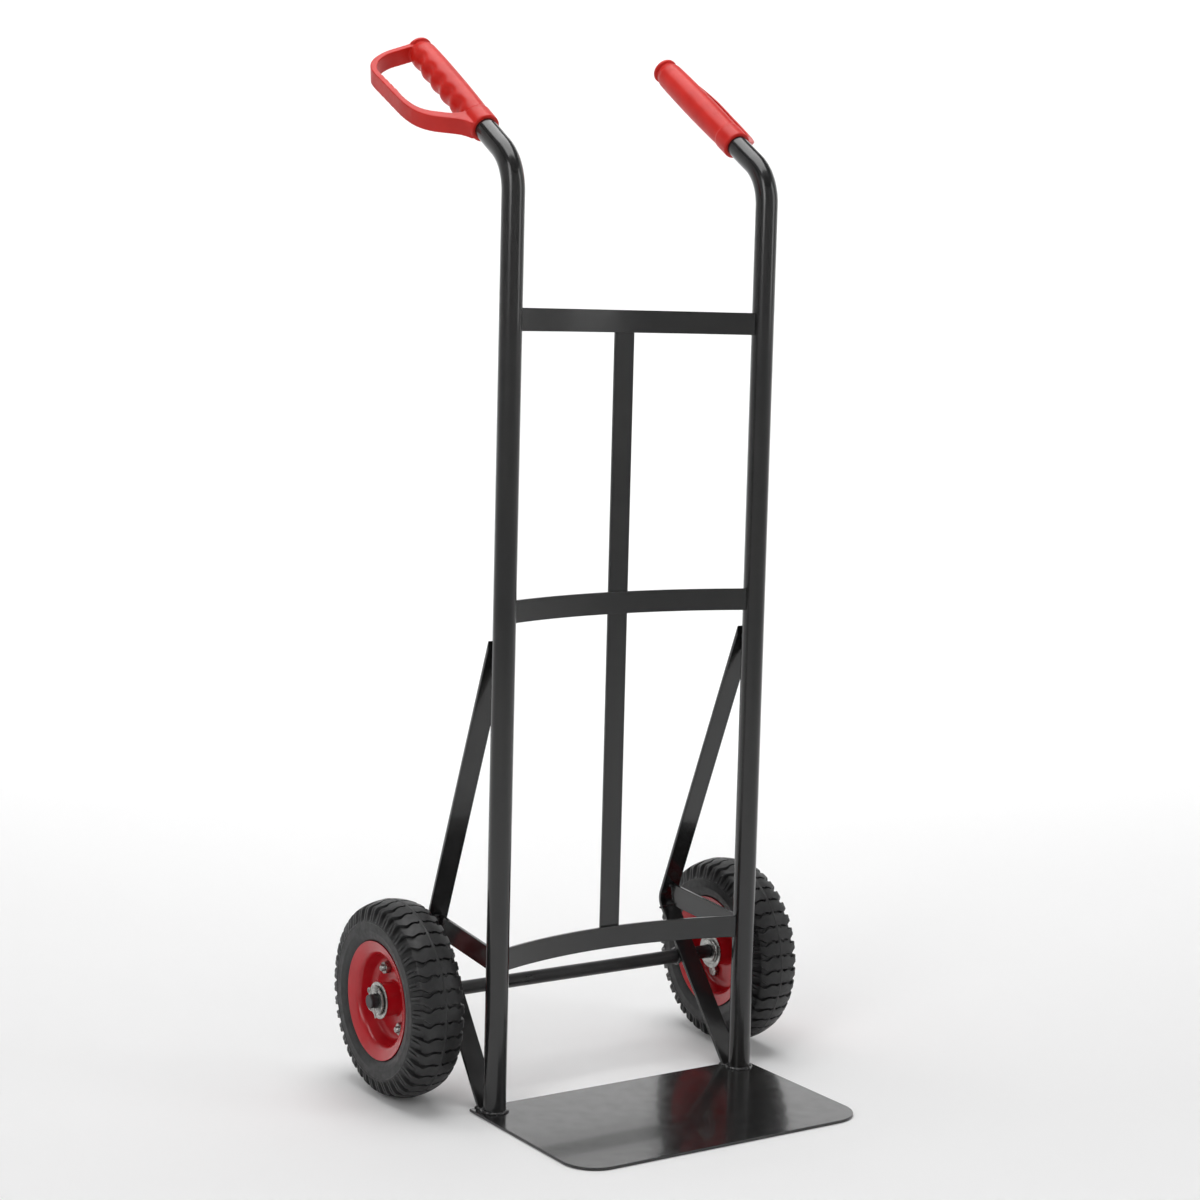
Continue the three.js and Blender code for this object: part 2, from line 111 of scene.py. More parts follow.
def vary_colour(finish, source, dark, light, low=0.35, high=0.65):
    """Runs the base colour from dark to light with a noise."""
    nodes, links = finish.node_tree.nodes, finish.node_tree.links
    ramp = nodes.new("ShaderNodeValToRGB")
    ramp.color_ramp.elements[0].position = low
    ramp.color_ramp.elements[1].position = high
    ramp.color_ramp.elements[0].color = (*dark, 1)
    ramp.color_ramp.elements[1].color = (*light, 1)
    links.new(source, ramp.inputs["Fac"])
    links.new(ramp.outputs["Color"], nodes["Principled BSDF"].inputs["Base Color"])


def vary_roughness(finish, source, smooth, rough, low=0.3, high=0.7):
    """Runs the roughness from smooth to rough with a noise."""
    nodes, links = finish.node_tree.nodes, finish.node_tree.links
    spread = nodes.new("ShaderNodeMapRange")
    spread.inputs["From Min"].default_value = low
    spread.inputs["From Max"].default_value = high
    spread.inputs["To Min"].default_value = smooth
    spread.inputs["To Max"].default_value = rough
    links.new(source, spread.inputs["Value"])
    links.new(spread.outputs["Result"], nodes["Principled BSDF"].inputs["Roughness"])


def raise_bump(finish, source, height, strength):
    """Raises fine bumps of that height, in metres, where the noise is high."""
    nodes, links = finish.node_tree.nodes, finish.node_tree.links
    bump = nodes.new("ShaderNodeBump")
    bump.inputs["Strength"].default_value = strength
    bump.inputs["Distance"].default_value = height
    links.new(source, bump.inputs["Height"])
    links.new(bump.outputs["Normal"], nodes["Principled BSDF"].inputs["Normal"])


def hand_over(piece, finish, slot, body, *nodes):
    """Gives a finished piece its material and its body, and hides the CAD nodes it stands for. The slot
    is not used.
    """
    piece.data.materials.clear()
    piece.data.materials.append(finish)
    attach(piece, body)
    if nodes:
        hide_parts(*nodes)


black_paint = new_finish("gloss_black_powder_coat", 0.2, coat=0.3, coat_roughness=0.06)
vary_colour(black_paint, noise(black_paint, 9), (0.010, 0.010, 0.0105), (0.016, 0.0155, 0.015))
vary_roughness(black_paint, noise(black_paint, 60, 4), 0.17, 0.27)
raise_bump(black_paint, noise(black_paint, 620, 2), 0.00012, 0.25)

PLATE_CORNER = 0.038
PLATE_EASE = 0.0006

plate_low, plate_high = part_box("toe_plate")
begin()
bpy.ops.mesh.primitive_cube_add(
    size=1, location=(plate_low + plate_high) / 2, scale=plate_high - plate_low
)
plate = bpy.context.object
plate.name = "toe_plate_steel"
settle(plate)
bpy.ops.object.mode_set(mode="EDIT")
pick_edges(plate, lambda a, b: abs(a.z - b.z) > 0.001 and a.y < 0 and b.y < 0)
bpy.ops.mesh.bevel(offset=PLATE_CORNER, segments=20, affect="EDGES")
bpy.ops.object.mode_set(mode="OBJECT")
ease_edges(plate, PLATE_EASE)
hand_over(plate, black_paint, "black_paint", "frame", "toe_plate")

# Uprights. Two lengths of round steel tube, mandrel bent back at the top to carry the grips.
# Each stands on the toe plate and is welded to it all round.
SIDES = (("left", -1), ("right", 1))
BEND_RADIUS = 0.057
BEND_START = 1.008
BEND_TURN = math.radians(58)
TUBE_SIDES = 48
BEND_STEPS = 24

tube_low, tube_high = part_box("left_upright")
foot_z = tube_low.z
tube_radius = (tube_high.x - tube_low.x) / 2
half_span = -(tube_low.x + tube_high.x) / 2
bend_end = Vector((
    0,
    BEND_RADIUS * (1 - math.cos(BEND_TURN)),
    BEND_START + BEND_RADIUS * math.sin(BEND_TURN),
))
up_the_grip = Vector((0, math.sin(BEND_TURN), math.cos(BEND_TURN)))
tube_run = (tube_high.z - bend_end.z - tube_radius * math.sin(BEND_TURN)) / up_the_grip.z

for label, side in SIDES:
    begin()
    bpy.ops.mesh.primitive_circle_add(
        vertices=TUBE_SIDES, radius=tube_radius, location=(side * half_span, 0, foot_z)
    )
    tube = bpy.context.object
    tube.name = label + "_upright_tube"
    settle(tube)
    bpy.ops.object.mode_set(mode="EDIT")
    bpy.ops.mesh.select_all(action="SELECT")
    bpy.ops.mesh.extrude_region_move(
        TRANSFORM_OT_translate={"value": (0, 0, BEND_START - foot_z)}
    )
    bpy.ops.mesh.spin(
        steps=BEND_STEPS,
        angle=BEND_TURN,
        center=(side * half_span, BEND_RADIUS, BEND_START),
        axis=(1, 0, 0),
    )
    bpy.ops.mesh.extrude_region_move(
        TRANSFORM_OT_translate={"value": up_the_grip * tube_run}
    )
    bpy.ops.mesh.select_all(action="SELECT")
    bpy.ops.mesh.remove_doubles(threshold=0.00001)
    bpy.ops.mesh.fill_holes(sides=0)
    bpy.ops.mesh.normals_make_consistent(inside=False)
    bpy.ops.object.mode_set(mode="OBJECT")
    bpy.ops.object.shade_smooth_by_angle(angle=math.radians(40))
    hand_over(tube, black_paint, "black_paint", "frame", label + "_upright")

# Cross rails. Three lengths of flat bar on edge, rolled so that they bow back between the uprights
# and cradle a round load. Their ends are welded to the inner sides of the tubes.
RAILS = ("top_rail", "middle_rail", "lower_rail")
BAR_HEIGHT = 0.025
BAR_THICKNESS = 0.004
BAR_EASE = 0.0007
RAIL_BITE = 0.002
RAIL_STEPS = 48

rail_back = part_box("top_rail")[1].y
bow = rail_back - BAR_THICKNESS / 2
half_chord = half_span - tube_radius + RAIL_BITE
rail_radius = (half_chord ** 2 + bow ** 2) / (2 * bow)
rail_sweep = 2 * math.asin(half_chord / rail_radius)

for name in RAILS:
    low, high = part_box(name)
    centre_z = (low.z + high.z) / 2
    begin()
    bpy.ops.mesh.primitive_plane_add(
        size=1, location=(0, bow, centre_z), rotation=(0, math.pi / 2, 0)
    )
    bar = bpy.context.object
    bar.name = name + "_bar"
    bar.scale = (BAR_HEIGHT, BAR_THICKNESS, 1)
    settle(bar)
    hinge = Vector((0, bow - rail_radius, centre_z))
    half_turn = Matrix.Rotation(rail_sweep / 2, 4, "Z")
    settle(bar, Matrix.Translation(hinge) @ half_turn @ Matrix.Translation(-hinge))
    bpy.ops.object.mode_set(mode="EDIT")
    bpy.ops.mesh.select_all(action="SELECT")
    bpy.ops.mesh.delete(type="ONLY_FACE")
    bpy.ops.mesh.select_all(action="SELECT")
    bpy.ops.mesh.spin(steps=RAIL_STEPS, angle=rail_sweep, center=hinge, axis=(0, 0, 1))
    bpy.ops.mesh.select_all(action="SELECT")
    bpy.ops.mesh.remove_doubles(threshold=0.00001)
    bpy.ops.mesh.fill_holes(sides=0)
    bpy.ops.mesh.normals_make_consistent(inside=False)
    bpy.ops.object.mode_set(mode="OBJECT")
    ease_edges(bar, BAR_EASE)
    hand_over(bar, black_paint, "black_paint", "frame", name)

# Centre bar. The same flat bar, standing behind the three rails and welded to the back of each.
# It is cut a little short, so that the rails' edges stand proud of its two ends.
bar_low, bar_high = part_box("centre_bar")
begin()
bpy.ops.mesh.primitive_cube_add(
    size=1, location=(bar_low + bar_high) / 2, scale=bar_high - bar_low
)
centre_bar = bpy.context.object
centre_bar.name = "centre_flat_bar"
settle(centre_bar)
ease_edges(centre_bar, BAR_EASE)
hand_over(centre_bar, black_paint, "black_paint", "frame", "centre_bar")


# Brackets. On each side a flat bar runs down and back from the upright, is bent forward at the elbow
# and meets a second flat bar that runs to the heel of the plate. A tie bar on edge braces the elbow.
def rounded(corners, steps=6):
    """A closed outline whose corners are cut back by the third number and rounded."""
    points = []
    for i, (a, b, cut) in enumerate(corners):
        here = Vector((a, b))
        if cut == 0:
            points.append(here)
            continue
        before = Vector(corners[i - 1][:2])
        after = Vector(corners[(i + 1) % len(corners)][:2])
        start = here + (before - here).normalized() * cut
        end = here + (after - here).normalized() * cut
        for k in range(steps + 1):
            t = k / steps
            points.append(start * (1 - t) ** 2 + here * 2 * t * (1 - t) + end * t * t)
    return points


def cut_plate(name, outline, width):
    """A flat blank of that (y, z) outline, extruded along X by width, centred on X."""
    begin()
    bpy.ops.mesh.primitive_circle_add(vertices=len(outline), radius=1, fill_type="NGON")
    blank = bpy.context.object
    blank.name = name
    for vertex, (y, z) in zip(blank.data.vertices, outline):
        vertex.co = (-width / 2, y, z)
    bpy.ops.object.mode_set(mode="EDIT")
    bpy.ops.mesh.select_all(action="SELECT")
    bpy.ops.mesh.extrude_region_move(TRANSFORM_OT_translate={"value": (width, 0, 0)})
    bpy.ops.mesh.select_all(action="SELECT")
    bpy.ops.mesh.normals_make_consistent(inside=False)
    bpy.ops.object.mode_set(mode="OBJECT")
    return blank


BRACKET_YAW = math.radians(2)
STRUT_TOP = Vector((0.013, 0.5166))
ELBOW = Vector((0.1485, 0.1747))
HEEL = Vector((0.0132, 0.0033))
ELBOW_RADIUS = 0.016
ELBOW_STEPS = 12
BUTT_GAP = 0.0001

down_back = (ELBOW - STRUT_TOP).normalized()
down_front = (HEEL - ELBOW).normalized()
upper_behind = Vector((-down_back.y, down_back.x))
lower_behind = Vector((-down_front.y, down_front.x))
elbow_turn = down_back.angle(down_front)
tangent = ELBOW_RADIUS * math.tan(elbow_turn / 2)

bend_centre = ELBOW - down_back * tangent - upper_behind * ELBOW_RADIUS
start_angle = math.atan2(upper_behind.y, upper_behind.x)
front_line = [STRUT_TOP]
back_top = STRUT_TOP + Vector((0, BAR_THICKNESS / down_back.x))
back_line = [back_top]
for step in range(ELBOW_STEPS + 1):
    angle = start_angle - elbow_turn * step / ELBOW_STEPS
    outward = Vector((math.cos(angle), math.sin(angle)))
    front_line.append(bend_centre + outward * ELBOW_RADIUS)
    back_line.append(bend_centre + outward * (ELBOW_RADIUS + BAR_THICKNESS))
upper_outline = front_line + back_line[::-1]

lower_start = ELBOW + down_front * (tangent + BUTT_GAP)
lower_end = lower_start + lower_behind * BAR_THICKNESS
heel_back = HEEL + Vector((BAR_THICKNESS / lower_behind.x, 0))
lower_outline = [lower_start, HEEL, heel_back, lower_end]

tie_outline = rounded([
    (0.0122, 0.184, 0), (0.0122, 0.158, 0), (0.112, 0.1666, 0), (0.1395, 0.1686, 0.016),
    (0.1386, 0.195, 0),
])



def bracket_place(side):
    """The bracket's place at the foot of its upright, with its elbow splayed outwards."""
    yaw = Matrix.Rotation(side * BRACKET_YAW, 4, "Z")
    return Matrix.Translation((side * half_span, 0, 0)) @ yaw


for label, side in SIDES:
    for part, outline, width in (
        ("upper_strut", upper_outline, BAR_HEIGHT),
        ("lower_strut", lower_outline, BAR_HEIGHT),
        ("tie_bar", tie_outline, BAR_THICKNESS),
    ):
        strap = cut_plate(f"{label}_{part}_flat", outline, width)
        settle(strap, bracket_place(side))
        ease_edges(strap, BAR_EASE)
        hand_over(strap, black_paint, "black_paint", "frame", f"{label}_{part}")


# Axle. A plain round steel bar right across the truck, through the lower struts, with its ends
# eased and a slanted cross hole near each end for the split pin. It is satin black, not glossy.
def combine(piece, other, operation):
    """Cuts, keeps or adds what the other solid covers. That solid is used up."""
    begin()
    bpy.context.view_layer.objects.active = piece
    piece.select_set(True)
    step = piece.modifiers.new("combine", "BOOLEAN")
    step.object = other
    step.operation = operation
    bpy.ops.object.modifier_apply(modifier="combine")
    bpy.data.objects.remove(other)


AXLE_EASE = 0.0014
PIN_HOLE = 0.0022
PIN_SHIFT = 0.0015
PIN_TILT = Matrix.Rotation(math.radians(-28), 4, "X")
DRILL_LENGTH = 0.03

axle_finish = new_finish("satin_black_axle", 0.36)
vary_colour(axle_finish, noise(axle_finish, 30), (0.008, 0.008, 0.009), (0.016, 0.015, 0.015))
vary_roughness(axle_finish, noise(axle_finish, 90, 4, (0.2, 1, 1)), 0.26, 0.42)
raise_bump(axle_finish, noise(axle_finish, 900, 2, (0.1, 1, 1)), 0.00008, 0.3)

axle_low, axle_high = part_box("axle")
axle_centre = (axle_low + axle_high) / 2
axle_radius = (axle_high.z - axle_low.z) / 2
pin_low, pin_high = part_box("right_split_pin")
pin_x = (pin_low.x + pin_high.x) / 2 + PIN_SHIFT


def pin_place(side):
    """The middle of the split pin, with its eye leant back."""
    return Matrix.Translation((side * pin_x, axle_centre.y, axle_centre.z)) @ PIN_TILT


begin()
bpy.ops.mesh.primitive_cylinder_add(
    vertices=64,
    radius=axle_radius,
    depth=axle_high.x - axle_low.x,
    location=axle_centre,
    rotation=(0, math.pi / 2, 0),
)
axle = bpy.context.object
axle.name = "axle_bar"
settle(axle)
ease_edges(axle, AXLE_EASE)
for side in (-1, 1):
    begin()
    bpy.ops.mesh.primitive_cylinder_add(vertices=20, radius=PIN_HOLE, depth=DRILL_LENGTH)
    drill = bpy.context.object
    settle(drill, pin_place(side))
    combine(axle, drill, "DIFFERENCE")
hand_over(axle, axle_finish, "axle_black", "frame", "axle")

# Weld beads. Every joint of the frame is arc welded by hand, and the bead is left as laid, a row of
# small overlapping ripples under the same black powder coat.
BEAD_PITCH = 0.0021
BEAD_GRAIN = 0.0007
FOOT_BEAD = 0.0026
HEEL_BEAD = 0.0022
ELBOW_FRONT_BEAD = 0.0014
ELBOW_BACK_BEAD = 0.0017
BRACKET_BEAD = 0.0016
TIE_END_BEAD = 0.0024
STRUT_SIDE_BEAD = 0.0017
BAR_END_BEAD = 0.0015
AXLE_BEAD = 0.0022
CROSSING_BEAD = 0.0014
STRUT_TIP_SHARE = 0.35
X, Y, Z = Vector((1, 0, 0)), Vector((0, 1, 0)), Vector((0, 0, 1))

weld_paint = new_finish("weld_under_black_coat", 0.25, coat=0.4, coat_roughness=0.1)
vary_colour(weld_paint, noise(weld_paint, 150), (0.012, 0.012, 0.0125), (0.05, 0.05, 0.05), 0.5, 0.8)
vary_roughness(weld_paint, noise(weld_paint, 200, 4), 0.16, 0.34)
raise_bump(weld_paint, noise(weld_paint, 900, 3), 0.0003, 0.5)


def bead_line(points, radius):
    """Places along a bent line, one for each ripple, with the size of the ripple there."""
    spots = []
    for i in range(len(points) - 1):
        start, end = Vector(points[i]), Vector(points[i + 1])
        count = max(1, round((end - start).length / BEAD_PITCH))
        for k in range(count):
            wobble = math.sin(12.9 * (len(spots) + 1)) * math.cos(4.1 * len(spots))
            spots.append((start.lerp(end, k / count), radius * (1 + 0.16 * wobble)))
    return spots


def ring_line(centre, ring_radius, across, along, radius):
    """The same round a circle, in the plane of two directions."""
    count = round(2 * math.pi * ring_radius / BEAD_PITCH)
    points = []
    for k in range(count + 1):
        a = 2 * math.pi * k / count
        points.append(Vector(centre) + (across * math.cos(a) + along * math.sin(a)) * ring_radius)
    return bead_line(points, radius)


def melt(piece, grain, rounds):
    """Turns overlapping closed shapes into one skin of that grain and softens it."""
    remesh = piece.modifiers.new("melt", "REMESH")
    remesh.mode = "VOXEL"
    remesh.voxel_size = grain
    bpy.ops.object.modifier_apply(modifier="melt")
    soften = piece.modifiers.new("soften", "SMOOTH")
    soften.factor = 0.5
    soften.iterations = rounds
    bpy.ops.object.modifier_apply(modifier="soften")
    bpy.ops.object.shade_smooth()


def lay_beads(name, spots, flatten=0.8):
    """Melts a row of small drops together into one rippled bead."""
    begin()
    bpy.ops.mesh.primitive_ico_sphere_add(subdivisions=2, radius=spots[0][1], location=spots[0][0])
    bead = bpy.context.object
    bead.name = name
    settle(bead)
    bpy.ops.object.mode_set(mode="EDIT")
    for where, radius in spots[1:]:
        bpy.ops.mesh.primitive_ico_sphere_add(
            subdivisions=2, radius=radius, location=where, scale=(1, 1, flatten)
        )
    bpy.ops.object.mode_set(mode="OBJECT")
    melt(bead, BEAD_GRAIN, 1)
    return bead


def bracket_line(side, start, end, radius):
    """A bead between two places on a bracket, each given as (across, (y, z))."""
    place = bracket_place(side)
    return bead_line([place @ Vector((across, *point)) for across, point in (start, end)], radius)


half = BAR_HEIGHT / 2
half_bar = BAR_THICKNESS / 2
tip = half * STRUT_TIP_SHARE
tie_rear = (0.1386, 0.193)
tie_low = (0.1352, 0.176)
strut_bead_low = (0.0128, 0.488)
strut_bead_high = (0.0128, 0.519)
tie_bead_low = (0.0127, 0.16)
tie_bead_high = (0.0127, 0.182)

for label, side in SIDES:
    foot_centre = (side * half_span, 0, plate_high.z + 0.0006)
    foot = ring_line(foot_centre, tube_radius + 0.001, X, Y, FOOT_BEAD)
    foot += bracket_line(side, (-half, heel_back), (half, heel_back), FOOT_BEAD)
    for across in (-half, half):
        foot += bracket_line(side, (across, HEEL), (across, heel_back), HEEL_BEAD)
    weld = lay_beads(label + "_foot_weld", foot)
    hand_over(weld, weld_paint, "black_paint", "frame")

    elbow = bracket_line(side, (-half, lower_start), (half, lower_start), ELBOW_FRONT_BEAD)
    elbow += bracket_line(side, (-half, lower_end), (half, lower_end), ELBOW_BACK_BEAD)
    for across in (-half_bar, half_bar):
        elbow += bracket_line(side, (across, tie_low), (across, tie_rear), BRACKET_BEAD)
    elbow += bracket_line(side, (-2 * half_bar, tie_rear), (2 * half_bar, tie_rear), TIE_END_BEAD)
    weld = lay_beads(label + "_elbow_weld", elbow)
    hand_over(weld, weld_paint, "black_paint", "frame")

    top = []
    for across in (-tip, tip):
        top += bracket_line(side, (across, strut_bead_low), (across, strut_bead_high), STRUT_SIDE_BEAD)
    top += bracket_line(side, (-tip, back_top), (tip, back_top), BRACKET_BEAD)
    for across in (-half_bar, half_bar):
        top += bracket_line(side, (across, tie_bead_low), (across, tie_bead_high), BAR_END_BEAD)
    weld = lay_beads(label + "_bracket_weld", top)
    hand_over(weld, weld_paint, "black_paint", "frame")

    rails = []
    for name in RAILS:
        low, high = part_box(name)
        end_x = side * (half_span - tube_radius + 0.0005)
        for back in (-0.0004, BAR_THICKNESS + 0.0002):
            ends = [(end_x, back, low.z + 0.001), (end_x, back, high.z - 0.001)]
            rails += bead_line(ends, BAR_END_BEAD)
    weld = lay_beads(label + "_rail_welds", rails)
    hand_over(weld, weld_paint, "black_paint", "frame")

    low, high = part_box(label + "_lower_strut")
    strut_middle = (low.x + high.x) / 2
    collars = []
    for face in (-1, 1):
        collar_centre = (strut_middle + face * (half - 0.001), axle_centre.y, axle_centre.z)
        collars += ring_line(collar_centre, axle_radius + 0.0006, Y, Z, AXLE_BEAD)
    weld = lay_beads(label + "_axle_weld", collars, 1.0)
    hand_over(weld, weld_paint, "black_paint", "frame")

crossings = []
for name in RAILS:
    low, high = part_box(name)
    inner = bar_low.y - 0.0002
    top_end = min(high.z - 0.002, bar_high.z)
    bottom_end = max(low.z + 0.002, bar_low.z)
    for x in (bar_low.x, bar_high.x):
        crossings += bead_line([(x, inner, bottom_end), (x, inner, top_end)], CROSSING_BEAD)
weld = lay_beads("centre_bar_welds", crossings)
hand_over(weld, weld_paint, "black_paint", "frame")


# Handles. One red plastic moulding a side, pushed on to the tube end: a grip with five finger
# scallops, a collar at its mouth, a closed end cap, and a flat knuckle guard looped outside it.
def turned(name, profile, steps, closed=True):
    """Turned about Z from (radius, height) points, its poles and seam closed, its faces outwards."""
    begin()
    bpy.ops.mesh.primitive_circle_add(vertices=len(profile), radius=1)
    piece = bpy.context.object
    piece.name = name
    for vertex, (radius, height) in zip(piece.data.vertices, profile):
        vertex.co = (radius, 0, height)
    bpy.ops.object.mode_set(mode="EDIT")
    if not closed:
        pick_edges(piece, lambda a, b: a.x < 1e-7 and b.x < 1e-7)
        bpy.ops.mesh.delete(type="EDGE")
    bpy.ops.mesh.select_all(action="SELECT")
    bpy.ops.mesh.spin(steps=steps, angle=2 * math.pi, center=(0, 0, 0), axis=(0, 0, 1))
    bpy.ops.mesh.select_all(action="SELECT")
    bpy.ops.mesh.remove_doubles(threshold=0.000005)
    bpy.ops.mesh.normals_make_consistent(inside=False)
    if bmesh.from_edit_mesh(piece.data).calc_volume(signed=True) < 0:
        bpy.ops.mesh.flip_normals()
    bpy.ops.object.mode_set(mode="OBJECT")
    bpy.ops.object.shade_smooth_by_angle(angle=math.radians(40))
    return piece


def smooth_step(t):
    """Rises smoothly from 0 to 1 while t goes from 0 to 1."""
    t = min(1.0, max(0.0, t))
    return t * t * (3 - 2 * t)


def place_copy(piece, name, place):
    """A copy with its own mesh, put in its place."""
    begin()
    copy = piece.copy()
    copy.data = piece.data.copy()
    copy.name = name
    bpy.context.scene.collection.objects.link(copy)
    bpy.context.view_layer.objects.active = copy
    copy.select_set(True)
    settle(copy, place)
    return copy


GRIP_MOUTH = Vector((0, 0.060, 1.077))
GRIP_RADIUS = 0.0168
CAP_RADIUS = 0.0151
BARREL_START = 0.0255
BARREL_MIDDLE = 0.070
BARREL_SWELL = 0.0011
BARREL_ROWS = 93
ROW_PITCH = 0.0015
GUARD_WIDTH = 0.020
GUARD_EASE = 0.0012
GUARD_TILT = {"left": math.radians(18), "right": math.radians(24)}
SCALLOPS = 5
SCALLOP_START = 0.044
SCALLOP_PITCH = 0.0255
SCALLOP_DEPTH = 0.0030
SCALLOP_REACH = (math.radians(28), math.radians(82))
MOULD_GRAIN = 0.0008

red_plastic = new_finish("red_moulded_plastic", 0.42)
vary_colour(red_plastic, noise(red_plastic, 35), (0.54, 0.014, 0.009), (0.62, 0.021, 0.014))
vary_roughness(red_plastic, noise(red_plastic, 220, 4), 0.32, 0.44)
raise_bump(red_plastic, noise(red_plastic, 1500, 2), 0.00012, 0.35)
plastic_shader = red_plastic.node_tree.nodes["Principled BSDF"]
plastic_shader.inputs["Specular IOR Level"].default_value = 0.3
plastic_shader.inputs["Subsurface Weight"].default_value = 0.08
plastic_shader.inputs["Subsurface Scale"].default_value = 0.003


def barrel(height):
    """The grip's radius at that height above its collar, fullest at its middle."""
    return GRIP_RADIUS - BARREL_SWELL * (height - BARREL_MIDDLE) ** 2 / BARREL_MIDDLE ** 2


grip_profile = [(0, 0), (0.0154, 0), (0.0164, 0.001), (0.0165, 0.0225), (0.0158, 0.0242)]
grip_profile += [
    (barrel(row * ROW_PITCH), BARREL_START + row * ROW_PITCH) for row in range(BARREL_ROWS)
]
grip_profile += [
    (0.0150, 0.1672), (0.0145, 0.1692), (0.0138, 0.1708), (0.0130, 0.1720), (0.0122, 0.1727),
    (0.0122, 0.1744), (CAP_RADIUS - 0.0006, 0.1747), (CAP_RADIUS, 0.1754), (CAP_RADIUS, 0.1782),
    (CAP_RADIUS - 0.0010, 0.1790), (0, 0.1790),
]
grip = turned("grip_blank", grip_profile, 96, closed=False)
for vertex in grip.data.vertices:
    height = vertex.co.z - SCALLOP_START
    if -0.5 * SCALLOP_PITCH < height < (SCALLOPS - 0.5) * SCALLOP_PITCH:
        around = abs(math.atan2(vertex.co.y, vertex.co.x))
        fade = smooth_step((SCALLOP_REACH[1] - around) / (SCALLOP_REACH[1] - SCALLOP_REACH[0]))
        hollow = math.cos(math.pi * height / SCALLOP_PITCH) ** 2
        radius = math.hypot(vertex.co.x, vertex.co.y)
        shrink = 1 - SCALLOP_DEPTH * hollow * fade / radius
        vertex.co.x *= shrink
        vertex.co.y *= shrink

guard_outer = rounded([
    (-0.006, 0.002, 0), (0.0155, 0.002, 0), (0.021, 0.012, 0.009), (0.058, 0.038, 0.018),
    (0.067, 0.066, 0.014), (0.073, 0.156, 0.018), (0.048, 0.1735, 0.014), (0.010, 0.1784, 0),
    (-0.006, 0.1784, 0),
], 10)
guard_opening = rounded([
    (0, 0.027, 0), (0.024, 0.027, 0.010), (0.054, 0.049, 0.014), (0.061, 0.072, 0.011),
    (0.067, 0.150, 0.015), (0.046, 0.1675, 0.012), (0, 0.1725, 0),
], 10)
guard = cut_plate("guard_blank", guard_outer + guard_opening[::-1], GUARD_WIDTH)
ease_edges(guard, GUARD_EASE)
settle(guard, Matrix.Rotation(-math.pi / 2, 4, "Z"))
begin()
guard.select_set(True)
grip.select_set(True)
bpy.context.view_layer.objects.active = grip
bpy.ops.object.join()
melt(grip, MOULD_GRAIN, 3)

for label, side in SIDES:
    tilt = GUARD_TILT[label]
    across = Vector((
        side * math.cos(tilt),
        math.sin(tilt) * up_the_grip.z,
        -math.sin(tilt) * up_the_grip.y,
    ))
    third = up_the_grip.cross(across)
    turn = Matrix((across, third, up_the_grip)).transposed().to_4x4()
    mouth = Matrix.Translation((side * half_span, GRIP_MOUTH.y, GRIP_MOUTH.z))
    handle = place_copy(grip, label + "_handle_moulding", mouth @ turn)
    hand_over(handle, red_plastic, "red_plastic", "frame", label + "_handle")
bpy.data.objects.remove(grip)

# Tyres. Black rubber casings with a round crown. Forty wavy grooves a side start close to a fine
# raised seam and run to the shoulder, where they open out. Finer ribs carry on down to a thin ring.
PITCHES = 40
COLUMNS = 13
GROOVE_EDGE = (0, 0.7, 1.0, 1.25)
CROWN_RADIUS = 0.055
CROWN_ROWS = 23
SHOULDER_X = 0.0245
GROOVE_START = 0.0020
GROOVE_HALF = 0.0016
GROOVE_DEPTH = 0.0034
SEAM_HEIGHT = 0.0004
SIDE_GROOVE_HALF = 2.7 * GROOVE_HALF
SIDE_NORMAL = (0.9, 0.43)
RIB_FOOT_RADIUS = 0.089

tyre_low, tyre_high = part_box("right_tyre")
tyre_radius = (tyre_high.z - tyre_low.z) / 2
wheel_x = (tyre_low.x + tyre_high.x) / 2

rubber = new_finish("tyre_rubber", 0.6)
vary_colour(rubber, noise(rubber, 70, 5), (0.009, 0.009, 0.0095), (0.018, 0.018, 0.0185))
vary_roughness(rubber, noise(rubber, 160, 5), 0.40, 0.58)
raise_bump(rubber, noise(rubber, 1400, 4), 0.00025, 0.4)


def crown(x):
    """The tyre's radius at that distance from its centre line."""
    return tyre_radius - (CROWN_RADIUS - math.sqrt(CROWN_RADIUS ** 2 - x * x))


